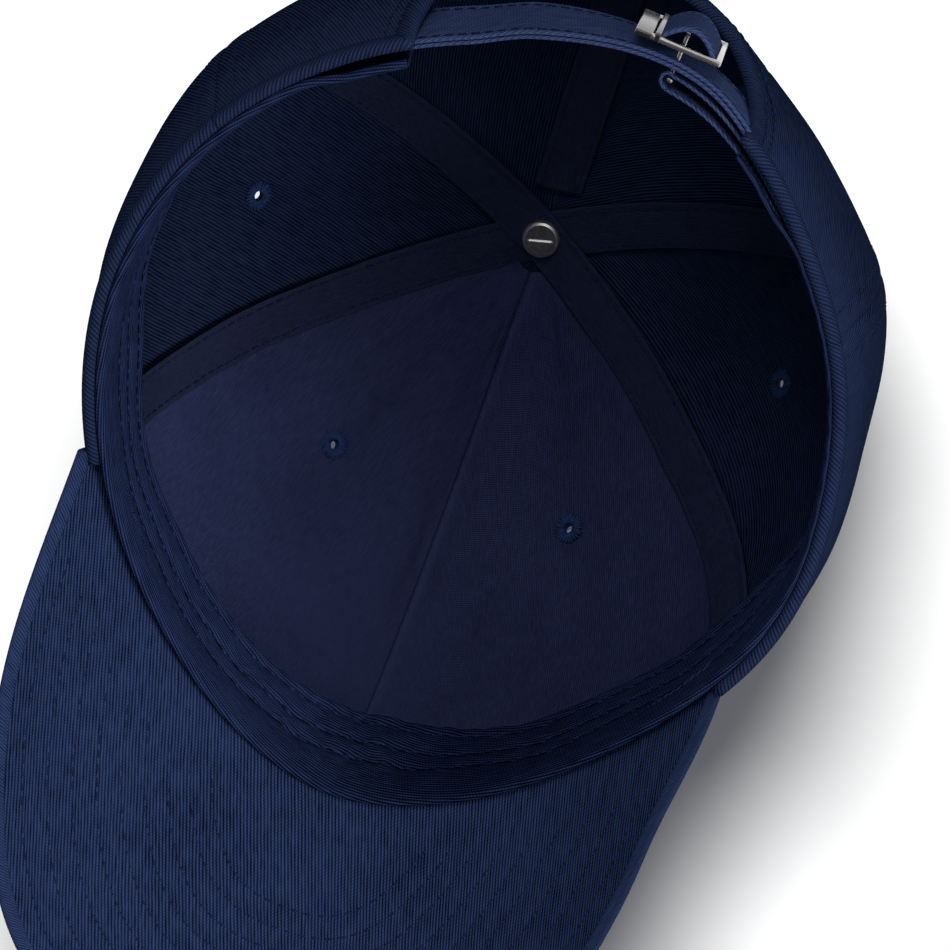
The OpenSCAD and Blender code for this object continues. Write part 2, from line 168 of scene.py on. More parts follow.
def add_sheet(bm, nu, nv, place, weave, wear_and_painted_light=None, hole=None):
    """Lays a grid over a surface; place gives a point for (u, v) and weave its place in the flat cloth."""
    verts = bmesh.ops.create_grid(bm, x_segments=nu, y_segments=nv, size=0.5)["verts"]
    if hole:
        centre, radius = hole
        near = {v for v in verts if (place(v.co.x + 0.5, v.co.y + 0.5) - centre).length < 3.2 * radius}
        edges = {e for v in near for e in v.link_edges if e.other_vert(v) in near}
        bmesh.ops.subdivide_edges(bm, edges=list(edges), cuts=3, use_grid_fill=True)
        verts = list(bm.verts)
    spots = {v: (v.co.x + 0.5, v.co.y + 0.5) for v in verts}
    faces = {f for v in verts for f in v.link_faces}
    flat = {vert: weave(u, v) for vert, (u, v) in spots.items()}
    for face in faces:
        for loop in face.loops:
            loop[bm.loops.layers.uv["weave"]].uv = flat[loop.vert]
    for vert, (u, v) in spots.items():
        vert.co = place(u, v)
        if wear_and_painted_light:
            vert[bm.verts.layers.float["wear_and_painted_light"]] = wear_and_painted_light(u, v)
    if hole:
        inside = [f for f in faces if all((v.co - centre).length < 1.25 * radius for v in f.verts)]
        rim = {v for f in inside for v in f.verts}
        bmesh.ops.delete(bm, geom=inside, context="FACES")
        for vert in rim:
            if vert.is_valid:
                vert.co = centre + (vert.co - centre).normalized() * radius
    return verts


def cloth():
    """Empty mesh for cloth, with its place in the flat cloth, and its wear and painted light and shade."""
    bm = bmesh.new()
    bm.loops.layers.uv.new("weave")
    bm.verts.layers.float.new("wear_and_painted_light")
    return bm


def edge_frames(spots, off):
    """Point, direction into the cloth and outward direction at each (a, p) of an edge."""
    points = [crown(a, p, off) for a, p in spots]
    frames = []
    for k, (a, p) in enumerate(spots):
        along = points[min(k + 1, len(points) - 1)] - points[max(k - 1, 0)]
        out = facing(a, p, off)
        frames.append((points[k], out.cross(along).normalized(), out))
    return frames


def add_sweep(bm, frames, section, skew=0.0, wear_and_painted_light=None):
    """Carries a section, given as pairs along the frame's two directions, along the frames."""
    nu, nv = len(frames) - 1, len(section) - 1
    run, drop = [0.0], [0.0]
    for k in range(nu):
        run.append(run[-1] + (frames[k + 1][0] - frames[k][0]).length)
    for k in range(nv):
        drop.append(drop[-1] + math.dist(section[k], section[k + 1]))
    def place(u, v):
        point, side, out = frames[round(u * nu)]
        s, h = section[round(v * nv)]
        return point + side * s + out * h
    def weave(u, v):
        x, y = run[round(u * nu)], drop[round(v * nv)]
        return x + y * skew, y - x * skew
    return add_sheet(bm, nu, nv, place, weave, wear_and_painted_light and (lambda u, v: wear_and_painted_light(section[round(v * nv)])))


def piece(name, bm, material, body, slot, *nodes, thick=0.0):
    """Turns a mesh into a piece of the cap that moves with a body; a piece to be blended has none."""
    mesh = bpy.data.meshes.new(name)
    bm.to_mesh(mesh)
    bm.free()
    mesh.materials.append(material)
    mesh.shade_smooth()
    obj = bpy.data.objects.new(name, mesh)
    bpy.context.scene.collection.objects.link(obj)
    if thick:
        solid = obj.modifiers.new("thickness", "SOLIDIFY")
        solid.thickness = thick
        solid.offset = -1
    if body:
        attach(obj, body)
    if nodes:
        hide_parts(*nodes)
    return obj


def feed(tree, socket, value):
    """Links a socket or sets its constant."""
    if isinstance(value, bpy.types.NodeSocket):
        tree.links.new(value, socket)
    else:
        socket.default_value = value


def node(tree, kind, inputs=(), **settings):
    """Adds a shader node and feeds its inputs, by name or number, with links or constants."""
    made = tree.nodes.new(kind)
    for key, value in settings.items():
        setattr(made, key, value)
    for key, value in dict(inputs).items():
        feed(tree, made.inputs[key], value)
    return made.outputs[0]


def calc(tree, operation, *values):
    """One step of arithmetic."""
    return node(tree, "ShaderNodeMath", enumerate(values), operation=operation)


def blend(tree, share, one, two):
    """Colour between two others."""
    made = tree.nodes.new("ShaderNodeMix")
    made.data_type = "RGBA"
    for key, value in ((0, share), (6, one), (7, two)):
        feed(tree, made.inputs[key], value)
    return made.outputs[2]


def woven(name, dark, light, lean, pitch=0.0008, relief=0.00022, plain=False):
    """Cotton cloth: twill ribs that lean from the warp, or a plain weave of single yarns."""
    material = bpy.data.materials.new(name)
    material.use_nodes = True
    tree = material.node_tree
    shader = tree.nodes["Principled BSDF"]
    flat = node(tree, "ShaderNodeUVMap", uv_map="weave")
    sway = node(tree, "ShaderNodeTexNoise", {"Vector": flat, "Scale": 90, "Detail": 2})
    turned = node(tree, "ShaderNodeMapping", {"Vector": flat, "Rotation": (0, 0, math.radians(lean)),
                                              "Scale": (1 / pitch, 1 / pitch, 1)})
    split = tree.nodes.new("ShaderNodeSeparateXYZ")
    tree.links.new(turned, split.inputs[0])
    across = calc(tree, "MULTIPLY_ADD", sway, 0.6, split.outputs[0])
    along = split.outputs[1]
    warp = calc(tree, "COSINE", calc(tree, "MULTIPLY", across, math.tau))
    rib = calc(tree, "MULTIPLY_ADD", warp, -0.5, 0.5)
    if plain:
        weft = calc(tree, "COSINE", calc(tree, "MULTIPLY", along, math.tau))
        rib = calc(tree, "MULTIPLY", rib, calc(tree, "MULTIPLY_ADD", weft, -0.5, 0.5))
        rib = calc(tree, "POWER", rib, 0.5)
    else:
        shift = calc(tree, "MULTIPLY_ADD", calc(tree, "FLOOR", across), 0.37,
                     calc(tree, "MULTIPLY", along, 1.1))
        yarn = calc(tree, "SINE", calc(tree, "MULTIPLY", calc(tree, "FRACT", shift), math.pi))
        rib = calc(tree, "MULTIPLY", rib, calc(tree, "MULTIPLY_ADD", yarn, 0.5, 0.5))
    streak = node(tree, "ShaderNodeCombineXYZ", {0: across, 1: calc(tree, "MULTIPLY", along, 0.16)})
    slub = node(tree, "ShaderNodeTexNoise", {"Vector": streak, "Scale": 0.9, "Detail": 3, "Roughness": 0.6})
    place = tree.nodes.new("ShaderNodeTexCoord").outputs["Object"]
    faded = node(tree, "ShaderNodeTexNoise", {"Vector": place, "Scale": 26, "Detail": 5, "Roughness": 0.65})
    tone = calc(tree, "MULTIPLY_ADD", rib, 0.9, calc(tree, "MULTIPLY_ADD", slub, 0.85, -0.33))
    # Colour follows the wear attribute: real wear on the tape and strap edges, painted light and shade on the
    # panels' rim, the hem and brim folds, the linings and the sweatband.
    painted_light_and_wear = tree.nodes.new("ShaderNodeAttribute")
    painted_light_and_wear.attribute_name = "wear_and_painted_light"
    tone = calc(tree, "MULTIPLY_ADD", painted_light_and_wear.outputs["Fac"], 0.3, tone)
    tone = calc(tree, "MULTIPLY_ADD", faded, 0.5, calc(tree, "SUBTRACT", tone, 0.25))
    tone = node(tree, "ShaderNodeClamp", {0: tone})
    tree.links.new(blend(tree, tone, (*dark, 1), (*light, 1)), shader.inputs["Base Color"])
    bump = node(tree, "ShaderNodeBump", {"Strength": 1.0, "Distance": relief, "Height": rib})
    tree.links.new(bump, shader.inputs["Normal"])
    shader.inputs["Roughness"].default_value = 0.85
    shader.inputs["Specular IOR Level"].default_value = 0
    return material


shell_twill = woven("shell_twill", (0.002, 0.004, 0.013), (0.029, 0.046, 0.122), -23)
hem_section = [(0.0034, -0.0002), (0.0030, 0.0004), (0.0022, 0.0007), (0.0012, 0.0008), (0.0004, 0.0007),
               (-0.0002, 0.0004), (-0.0004, -0.0002), (-0.0002, -0.0008), (0.0006, -0.0011),
               (0.0025, -0.0010), (0.0065, -0.0009)]


def seam_relief(d, s, topstitched):
    """How far the cloth stands out at d from a seam and s up from the rim."""
    fold = 0.0002 * (1 - ramp((d - 0.0046) / 0.0012))
    fold = fold - 0.0002 * ridge(d - row_off, 0.0007) - 0.0004 * ridge(d, 0.0010)
    return fold * topstitched - 0.0001 * ridge(d, 0.0010) - 0.0003 * ridge(s - 0.0036, 0.0008)


def shell_relief(a, p):
    """Relief of the shell, from its distance to the nearest seam."""
    gaps = [(abs(turn(a, b)), b != 0) for b in (0, seam_front, -seam_front, seam_back, -seam_back, 180)]
    gap, topstitched = min(gaps)
    return seam_relief(math.radians(gap) * girth(a, p), rise(p) if lower_p(a) == 0 else 1, topstitched)


def crowd(u):
    """Moves the lines of a panel's grid closer together towards its two seams."""
    return u - 0.8 / math.tau * math.sin(math.tau * u)


top_p = p_within(apex_r)
panel_span = {"front": (0, seam_front), "side": (seam_front, seam_back), "back": (seam_back, 180)}
for kind, (a0, a1) in panel_span.items():
    for hand, sign in (("left", 1), ("right", -1)):
        low, high = sorted((sign * a0, sign * a1))
        def spot(u, v):
            a = low + (high - low) * crowd(u)
            start = lower_p(a)
            return a, start + (top_p - start) * v ** 1.3
        def place(u, v):
            a, p = spot(u, v)
            return crown(a, p, -shell_relief(a, p))
        def weave(u, v):
            a, p = spot(u, v)
            return math.radians(a - (low + high) / 2) * girth(a, p), rise(p)
        # Painted light: the side and back panels are coloured lighter near the rim, fading out 15 degrees up
        # the crown.
        def painted_rim_light(u, v):
            return 0.9 * (1 - ramp((spot(u, v)[1] - 2) / 13)) * (kind != "front")
        hole_a, hole_p = air_holes[kind]
        bm = cloth()
        add_sheet(bm, 64, 88, place, weave, painted_rim_light, (crown(sign * hole_a, hole_p), air_hole_r))
        rim_start, rim_end = max(a0, brim_angle - 0.6), min(a1, 180 - open_half)
        path = [(rim_start + (rim_end - rim_start) * k / 48, 0.0) for k in range(49)]
        if kind == "back":
            arch = [math.radians(90 * k / 46) for k in range(1, 47)]
            path += [(180 - open_half * math.cos(t), p_at(open_h * math.sin(t))) for t in arch]
        path = [(sign * a, p) for a, p in path][::sign]
        if kind != "front":
            # The rolled hem is coloured lighter along its fold: edge wear and a painted highlight.
            add_sweep(bm, edge_frames(path, 0.0004), hem_section, 0.45, lambda s: 0.8 * ridge(s[0], 0.0016))
        panel = piece(f"{kind}_{hand}_cloth", bm, shell_twill, "cap", "shell_twill", f"{kind}_{hand}_panel",
                      thick=shell_t)


# Topstitching of the shell: two rows of navy thread beside each side seam and the back seam, which
# hold the seam's turned edges and the tape inside, and rows along the rolled hem.
stitch_long, stitch_gap = 0.0023, 0.0007
thread = bpy.data.materials.new("thread")
thread.use_nodes = True
tree = thread.node_tree
shader = tree.nodes["Principled BSDF"]
place = tree.nodes.new("ShaderNodeTexCoord").outputs["Object"]
fuzz = node(tree, "ShaderNodeTexNoise", {"Vector": place, "Scale": 900, "Detail": 2})
dyed = blend(tree, fuzz, (0.004, 0.007, 0.024, 1), (0.030, 0.049, 0.138, 1))
tree.links.new(dyed, shader.inputs["Base Color"])
shader.inputs["Roughness"].default_value = 0.6
shader.inputs["Specular IOR Level"].default_value = 0


def add_all(bm, part):
    """Moves a finished part into a larger mesh, which costs less than building it there."""
    mesh = bpy.data.meshes.new("part")
    part.to_mesh(mesh)
    part.free()
    bm.from_mesh(mesh)
    bpy.data.meshes.remove(mesh)


def sew(bm, path, out_of, long=stitch_long, gap=stitch_gap, width=0.0006, lift=0.0001):
    """Lays a row of stitches along a dense path; out_of gives the outward direction at a path index."""
    travel, start, first = 0.0, path[0], 0
    row = bmesh.new()
    for k in range(1, len(path)):
        travel += (path[k] - path[k - 1]).length
        if travel < long + gap:
            continue
        middle, out = (start + path[k]) / 2, out_of((first + k) // 2)
        x = (path[k] - start).normalized()
        y = out.cross(x).normalized()
        z = x.cross(y)
        turned = Matrix((x, y, z)).transposed().to_4x4()
        size = Matrix.Diagonal((travel * long / (long + gap) / 2, width / 2, width * 0.4, 1))
        bmesh.ops.create_uvsphere(row, u_segments=6, v_segments=4, radius=1,
                                  matrix=Matrix.Translation(middle + out * lift) @ turned @ size)
        travel, start, first = 0.0, path[k], k
        if len(row.verts) > 600:
            add_all(bm, row)
            row = bmesh.new()
    add_all(bm, row)


bm = bmesh.new()
for a in (seam_front, -seam_front, seam_back, -seam_back, 180):
    for side in (-1, 1):
        row = [p for p in (k * 0.12 for k in range(750)) if lower_p(a) + 1.5 < p < 83]
        spots = [(a + side * math.degrees(row_off / girth(a, p)), p) for p in row]
        sew(bm, [crown(b, p, -shell_relief(b, p)) for b, p in spots], lambda k: facing(*spots[k]))
for sign in (1, -1):
    rim_row = [brim_angle + (180 - open_half - 0.3 - brim_angle) * k / 1000 for k in range(1001)]
    spots = [(sign * a, 2.15) for a in rim_row]
    sew(bm, [crown(a, p, -shell_relief(a, p)) for a, p in spots], lambda k: facing(*spots[k]))
    arch = [math.radians(2 + 88 * k / 400) for k in range(401)]
    spots = [(sign * (180 - open_half * math.cos(t)), p_at(open_h * math.sin(t))) for t in arch]
    for inset in (0.0042, 0.0066):
        frames = edge_frames(spots[::sign], 0)
        sew(bm, [point + side * inset for point, side, out in frames], lambda k: frames[k][2])
piece("shell_stitching", bm, thread, "cap", "thread")


# Front linings: two pieces of fine plain-weave cotton behind the front panels, which keep the front
# upright. They are sewn together down the middle and hang a little loose between the seams.
lining_off, lining_t = 0.0013, 0.0003
lining_weave = woven("lining", (0.013, 0.017, 0.047), (0.060, 0.076, 0.205), 0, 0.00050, 0.00013, plain=True)
lining_low_p, lining_top_p = p_at(0.003), p_within(0.008)


def lining_slack(a, p):
    """How far the lining hangs in from the shell; its seam is pressed over to one side."""
    rad = math.radians(a)
    ripple = noise.noise(Vector((math.sin(rad) * 9, math.cos(rad) * 9, p / 22)))
    rumple = noise.noise(Vector((math.sin(rad) * 26, math.cos(rad) * 26, p / 6)))
    crease = ridge(turn(a, 13 + (p - 60) * 0.25), 4) * ridge(p - 64, 13)
    pressed = 0.0008 * (1 - ramp(rad * girth(a, p) / -0.009)) if a < 0 else 0
    groove = 0.0002 * ridge(rad * girth(a, p), 0.0009)
    return 0.0010 * ripple + 0.00035 * rumple + 0.0014 * crease + pressed - groove


for hand, sign in (("left", 1), ("right", -1)):
    low, high = sorted((0, sign * seam_front))
    def spot(u, v):
        return low + (high - low) * crowd(u), lining_low_p + (lining_top_p - lining_low_p) * v
    def place(u, v):
        a, p = spot(u, v)
        a += 1e-6 * sign  # on the middle seam, each lining keeps to its own side of the pressed fold
        return crown(a, p, lining_off + lining_slack(a, p) * ramp((lining_top_p - p) / 8))
    def weave(u, v):
        a, p = spot(u, v)
        return math.radians(a - (low + high) / 2) * girth(a, p), rise(p)
    # Painted light and shade on the linings: a dark line in the middle seam, a lighter strip beside it on the
    # right piece, a lighter patch low in the middle and a darker patch towards the right front seam.
    def painted_lining_light(u, v):
        a, p = spot(u, v)
        d = math.radians(a) * girth(a, p)
        crease = 0.7 * ridge(d + 0.0022, 0.0016) * (sign < 0) - 1.8 * ridge(d, 0.0007)
        return crease + 0.8 * ridge(turn(a, 4), 16) * ridge(p - 36, 20) - 0.35 * ridge(turn(a, -42), 16)
    hole_a, hole_p = air_holes["front"]
    bm = cloth()
    add_sheet(bm, 64, 84, place, weave, painted_lining_light, (crown(sign * hole_a, hole_p, lining_off), air_hole_r))
    lining = piece(f"front_{hand}_lining_cloth", bm, lining_weave, "cap", "lining", f"front_{hand}_lining",
                   thick=lining_t)


# Air holes: six eyelets, each worked with radial stitches of navy thread over a small punched hole.
# The thread goes through the hole, so that both faces of the cloth carry the same ring.
eye_in, eye_out, eye_threads = 0.0012, 0.0040, 27
eye_thread = thread.copy()
eye_thread.name = "eye_thread"
eye_blend = next(n for n in eye_thread.node_tree.nodes if n.bl_idname == "ShaderNodeMix")
eye_blend.inputs[6].default_value = (0.006, 0.012, 0.045, 1)
eye_blend.inputs[7].default_value = (0.04, 0.075, 0.22, 1)


def pull(bm, edges, way):
    """Draws a wall out of edges of a mesh."""
    wall = bmesh.ops.extrude_edge_only(bm, edges=edges)["geom"]
    bmesh.ops.translate(bm, vec=way, verts=[g for g in wall if isinstance(g, bmesh.types.BMVert)])


for kind, (hole_a, hole_p) in air_holes.items():
    for hand, sign in (("left", 1), ("right", -1)):
        rng = Random(f"{kind} {hand}")
        a = sign * hole_a
        out = facing(a, hole_p)
        inner = lining_off + lining_t if kind == "front" else shell_t
        bm = bmesh.new()
        for face, off in ((1, -0.0002), (-1, inner + 0.0002)):
            centre = crown(a, hole_p, off)
            across = (crown(a + 1, hole_p) - crown(a - 1, hole_p)).normalized()
            up = out.cross(across).normalized()
            ring = Matrix((across, up, out)).transposed().to_4x4()
            ring.translation = centre
            for k in range(eye_threads):
                bearing = math.tau * (k + rng.uniform(-0.2, 0.2)) / eye_threads
                end = eye_out + rng.uniform(-0.0002, 0.0001)
                size = Matrix.Diagonal(((end - eye_in) / 2 + 0.0002, 0.00040, 0.00034, 1))
                at = Matrix.Rotation(bearing, 4, "Z") @ Matrix.Translation(((end + eye_in) / 2, 0, 0))
                bmesh.ops.create_uvsphere(bm, u_segments=6, v_segments=6, radius=1, matrix=ring @ at @ size)
        foot = Matrix.Translation(crown(a, hole_p, inner / 2) - out * (inner / 2 + 0.0003))
        mouth = bmesh.ops.create_circle(bm, cap_ends=False, segments=24, radius=eye_in,
                                        matrix=foot @ out.to_track_quat("Z", "Y").to_matrix().to_4x4())
        pull(bm, list({e for v in mouth["verts"] for e in v.link_edges}), out * (inner + 0.0006))
        piece(f"{kind}_{hand}_eyelet_thread", bm, eye_thread, "cap", "thread", f"{kind}_{hand}_eyelet")


# Seam tapes: strips of plain-weave cotton with turned edges, stitched over the seams inside. Two run
# from front to back and cross under the button, one over the other, and a short one covers the back seam.
tape_half, tape_off, tape_over, tape_t = 0.006, 0.0024, 0.00075, 0.0005
tape_weave = woven("seam_tape", (0.008, 0.010, 0.027), (0.037, 0.048, 0.112), 0, 0.00045, 0.00007, plain=True)
tape_edge = [(-1, -0.0006), (-1.02, 0.0), (-0.98, 0.0003), (-0.86, 0.00035), (-0.74, 0.0001), (-0.6, 0.0003),
             (-0.3, 0.0004)]
tape_section = tape_edge + [(0, 0.0004)] + [(-s, h) for s, h in tape_edge[::-1]]


def tape_line(a, p, over):
    """Point of a tape, its direction across and the way its face looks."""
    across = (crown(a + 1, 0) - crown(a - 1, 0)).normalized()
    off = tape_off + over * ramp((p - 66) / 10)
    return crown(a, p, off), across, -facing(a, min(p, 86), off)


def add_tape(bm, thread_bm, frames, seed):
    """One tape along its frames, with the puckers that sewing leaves, and its two rows of stitches."""
    nu, nv = len(frames) - 1, len(tape_section) - 1
    run = [0.0]
    for k in range(nu):
        run.append(run[-1] + (frames[k + 1][0] - frames[k][0]).length)
    def place(u, v):
        point, side, out = frames[round(u * nu)]
        s, h = tape_section[round(v * nv)]
        pucker = noise.noise(Vector((run[round(u * nu)] * 210, s * 0.7, seed))) * (1 - abs(s) * 0.55)
        slant = noise.noise(Vector((run[round(u * nu)] * 90 + s * 0.6, s, seed + 7)))
        wander = 0.0005 * noise.noise(Vector((run[round(u * nu)] * 30, 0, seed + 3)))
        return point + side * (s * tape_half + wander) + out * (h + 0.00028 * pucker + 0.0003 * slant)
    def weave(u, v):
        return tape_section[round(v * nv)][0] * tape_half, run[round(u * nu)]
    add_sheet(bm, nu, nv, place, weave, lambda u, v: 0.25 * (abs(tape_section[round(v * nv)][0]) > 0.9))
    for s in (-0.76, 0.76):
        sew(thread_bm, [point + side * s * tape_half + out * 0.0003 for point, side, out in frames],
            lambda k: frames[k][2], width=0.0005)


thread_bm = bmesh.new()
tape_start, tape_end, steps = p_at(0.027), 88.5, 190
for name, a0, over in (("left_cross", 1, 0.0), ("right_cross", -1, tape_over)):
    heights = [tape_start + (tape_end - tape_start) * k / steps for k in range(steps + 1)]
    climb = [(a0 * seam_front, p, 1) for p in heights]
    fall = [(-a0 * seam_back, p, -1) for p in heights[::-1]]
    frames = []
    for a, p, way in climb + fall:
        point, side, out = tape_line(a, p, over)
        frames.append((point, side * way, out))
    bm = cloth()
    add_tape(bm, thread_bm, frames, a0 * 5.3)
    tape = piece(f"{name}_tape_cloth", bm, tape_weave, "cap", "seam_tape", f"{name}_tape", thick=tape_t)
bm = cloth()
back_start, back_end = p_at(0.0492), p_within(0.014)
frames = [tape_line(180, back_start + (back_end - back_start) * k / 120, 0.0) for k in range(121)]
add_tape(bm, thread_bm, frames, 2.2)
tape = piece("back_center_tape_cloth", bm, tape_weave, "cap", "seam_tape", "back_center_tape", thick=tape_t)
piece("tape_stitching", thread_bm, thread, "cap", "thread")


# Sweatband: a strip of twill round the inside of the rim, sewn to the hem along its rolled lower edge
# and left free above. Stitch rows hold its folds, and it stands off at the back, where the strap runs in.
band_h, band_off, band_t, band_end = 0.033, 0.0046, 0.0008, 152.5
band_twill = woven("band_twill", (0.002, 0.004, 0.014), (0.042, 0.066, 0.188), 83, 0.0009)
band_rows, band_r = (0.0145, 0.0215, 0.0296), 0.092
band_section = [(0.0012, -0.0024), (0.0002, -0.0026), (-0.0005, -0.0022), (-0.0008, -0.0016),
                (-0.0006, -0.0010), (0.0003, -0.0005), (0.0016, -0.0001), (0.0035, 0.0004), (0.006, 0.0007),
                (0.009, 0.0007), (0.012, 0.0004), (0.0138, 0.0001), (0.0145, -0.0003), (0.0152, 0.0001),
                (0.0168, 0.0004), (0.018, 0.0005), (0.0194, 0.0004), (0.0208, 0.0001), (0.0215, -0.0003),
                (0.0222, 0.0001), (0.0238, 0.0004), (0.0256, 0.0004), (0.0275, 0.0003), (0.0290, 0.0),
                (0.0296, -0.0002), (0.0302, 0.0), (0.0318, 0.0003), (0.0328, 0.0002), (0.0332, -0.0003),
                (0.0328, -0.0008)]
band_folds = len(band_section) - 1
band_run = [0.0]
for k in range(band_folds):
    band_run.append(band_run[-1] + math.dist(band_section[k], band_section[k + 1]))


def band_point(a, z, h):
    """Point of the band, which leans in towards its free edge and is pushed into folds at the front."""
    mouth = ramp((46 - 180 + abs(a)) / 10)
    lean = 0.0055 + 0.0075 * ridge(turn(a, -4), 27) - 0.0035 * ridge(turn(a, -95), 30)
    rad = math.radians(a)
    ruck = noise.noise(Vector((math.sin(rad) * 5, math.cos(rad) * 5, z * 40)))
    crease = noise.noise(Vector((a * 0.16 + z * 130, z * 70, 4.0)))
    crease += 0.6 * noise.noise(Vector((a * 0.34 - z * 90, z * 60, 9.0)))
    lift = (0.0010 * ruck + 0.0008 * crease * ridge(turn(a, 2), 34)) * ramp((z - 0.002) / 0.012)
    hug = 0.6 * ramp((abs(turn(a, 40)) - 108) / 24) * (1 - ramp((z - 0.001) / 0.010))
    h = (h + 0.0026) * (1 - hug) - 0.0026
    inset = band_off + 0.0022 * mouth + lean * (1 - mouth) * max(z, 0) / band_h + h + lift
    return crown(a, p_at(max(z, 0.0)), inset) + Vector((0, 0, min(z, 0)))


def band_angle(u):
    return band_end * (1 - 2 * u)


def place(u, v):
    return band_point(band_angle(u), *band_section[round(v * band_folds)])


def weave(u, v):
    return math.radians(band_angle(u)) * band_r, band_run[round(v * band_folds)]


# Painted shade: the sweatband is coloured darker round the wearer's right front, about 26 degrees from the
# front.
def painted_band_shade(u, v):
    return -0.9 * ridge(turn(band_angle(u), -26), 32)


bm = cloth()
add_sheet(bm, 340, band_folds, place, weave, painted_band_shade)
band = piece("sweatband_cloth", bm, band_twill, "cap", "band_twill", "sweatband", thick=band_t)
bm = bmesh.new()
for z in band_rows:
    turns = [band_end * (1 - k / 1500) for k in range(3001)]
    sew(bm, [band_point(a, z, 0.0001) for a in turns], lambda k: -facing(turns[k], 4), width=0.0005)
piece("band_stitching", bm, thread, "cap", "thread")


# Brim: a curved board between two twill covers, sewn into the front of the rim. The upper cover is
# turned under round the edge and stitched down, and rows of stitching follow the edge through all layers.
brim_len, brim_side, edge_w, brim_gap, brim_tuck = 0.072, 0.0018, 0.0032, 0.0003, 0.0052
brim_pitch, brim_arch, brim_square, brim_blend = 18, 0.070, 2.5, 0.055
brim_back = front_len + brim_len
temple = plan(brim_angle, 0)
brim_half, brim_y = temple[0] + edge_w + brim_side, temple[1] + brim_side
brim_rows = [0.0065 + 0.005 * k for k in range(9)]
brim_steps, cover_t = 190, 0.0006
core_trim, core_t = 0.0078, 0.0012
brim_twill = woven("brim_twill", (0.002, 0.004, 0.015), (0.050, 0.084, 0.225), 21)


def brim_in(g, off):
    """Plan of the brim's seam, which follows the rim."""
    return crown(brim_angle * g, p_at(brim_t / 2), off).xy


def drawn_in(x, y):
    """Share of its width that the worn brim keeps; the wearer's right side is bent in more."""
    if x > 0:
        return 1 - 0.018 * ramp((-0.055 - y) / 0.085)
    return 1 - 0.024 * ramp((-0.022 - y) / 0.022) - 0.042 * ramp((-0.046 - y) / 0.036)


def brim_out(g, trim):
    """Plan of the brim's outer edge, trim inside it."""
    s, c = math.sin(math.radians(90 * g)), abs(math.cos(math.radians(90 * g)))
    trim += 0.0014 * ramp((abs(g) - 0.8) / 0.2)
    x = math.copysign((brim_half - trim) * abs(s) ** (2 / brim_square), s)
    y = brim_y - (brim_back + brim_y - trim) * c ** (2 / brim_square)
    return Vector((x * drawn_in(x, y), y))


def sag(q):
    """Height of the brim, pitched down to the front and arched across."""
    return front_rise + (q.y + front_len) * math.tan(math.radians(brim_pitch)) - q.x * q.x / (2 * brim_arch)


def brim_at(g, s, trim, dz):
    """Point of the brim; g runs along the rim, s from the seam to the edge, dz up from its middle."""
    root, seam = brim_in(g, -brim_gap), brim_in(g, brim_tuck)
    q = seam + (brim_out(g, trim) - seam) * s
    fix = rim_z(brim_angle * g) + brim_t / 2 - sag(root)
    beyond = max(0, (q - seam).length - (root - seam).length)
    return Vector((q.x, q.y, sag(q) + fix * max(0, 1 - beyond / brim_blend) ** 1.5 + dz))


def from_edge(q):
    """Distance from the brim's outer edge, measured the way the stitch rows step in from it."""
    low, high = -0.001, 0.075
    wide = abs(q.x) / drawn_in(q.x, q.y)
    for k in range(18):
        d = (low + high) / 2
        x, y = wide / (brim_half - d), max(0, brim_y - q.y) / (brim_back + brim_y - d)
        if x ** brim_square + y ** brim_square < 1:
            low = d
        else:
            high = d
    return low


def flat_x(x):
    """Place across the flat cloth, which the arch of the brim bends."""
    q = x / brim_arch
    return brim_arch / 2 * (math.asinh(q) + q * math.hypot(1, q))


def row_dent(point):
    """How far the rows of stitches, and the step of the turned edge, draw the cover in."""
    d = from_edge(point)
    nearest = min(brim_rows, key=lambda row: abs(row - d))
    return 0.00035 * ridge(d - nearest, 0.0007) + 0.0006 * ridge(d - 0.0052, 0.0018)


def place(u, v):
    point = brim_at(2 * u - 1, v, edge_w - 0.0004, -brim_t / 2)
    soft = 0.0004 * noise.noise(point * 55)
    return point + Vector((0, 0, row_dent(point) + soft))


bm = cloth()
add_sheet(bm, brim_steps, 84, place, lambda u, v: (flat_x(place(u, v).x), place(u, v).y))
bm.normal_update()
under_face = BVHTree.FromBMesh(bm)
under = piece("brim_under_cloth", bm, brim_twill, "cap", "brim_twill", "brim_under_cover", thick=cover_t)

round_edge = [math.radians(-90 + 15 * k) for k in range(13)]
top_rows = [(1, 0.0033, -0.0016), (1, 0.0032, -0.0021), (1, 0.0028, -0.0023), (1, 0.0024, -0.0021)]
top_rows += [(1, 0.0019 * (1 - math.cos(t)), 0.0020 * math.sin(t)) for t in round_edge]
turned_rows = len(top_rows)
top_rows += [(1 - k / 80, 0.0019, 0.0019) for k in range(1, 81)]
top_last = len(top_rows) - 1


def place(u, v):
    s, trim, dz = top_rows[round(v * top_last)]
    point = brim_at(2 * u - 1, s, trim, dz)
    soft = 0.0004 * noise.noise(point * 55)
    return point + Vector((0, 0, soft - row_dent(point) * (dz > 0.0018)))


outline = [brim_out(2 * k / brim_steps - 1, 0) for k in range(brim_steps + 1)]
edge_run = [0.0]
for k in range(brim_steps):
    edge_run.append(edge_run[-1] + (outline[k + 1] - outline[k]).length)


def weave(u, v):
    row = round(v * top_last)
    if row < turned_rows:
        run, slant = edge_run[round(u * brim_steps)], 1 - 2 * ramp((u - 0.4) / 0.2)
        return run * 0.9 + row * slant * 0.0009, run * 0.45 * slant - row * 0.0005
    return -flat_x(place(u, v).x), place(u, v).y


bm = cloth()
# The turned-under edge of the top cover is coloured lighter: edge wear and a painted highlight along the
# fold.
add_sheet(bm, brim_steps, top_last, place, weave, lambda u, v: 0.7 * (v * top_last < turned_rows))
bm.normal_update()
top_face = BVHTree.FromBMesh(bm)
upper = piece("brim_top_cloth", bm, brim_twill, "cap", "brim_twill", "brim_top_cover", thick=cover_t)

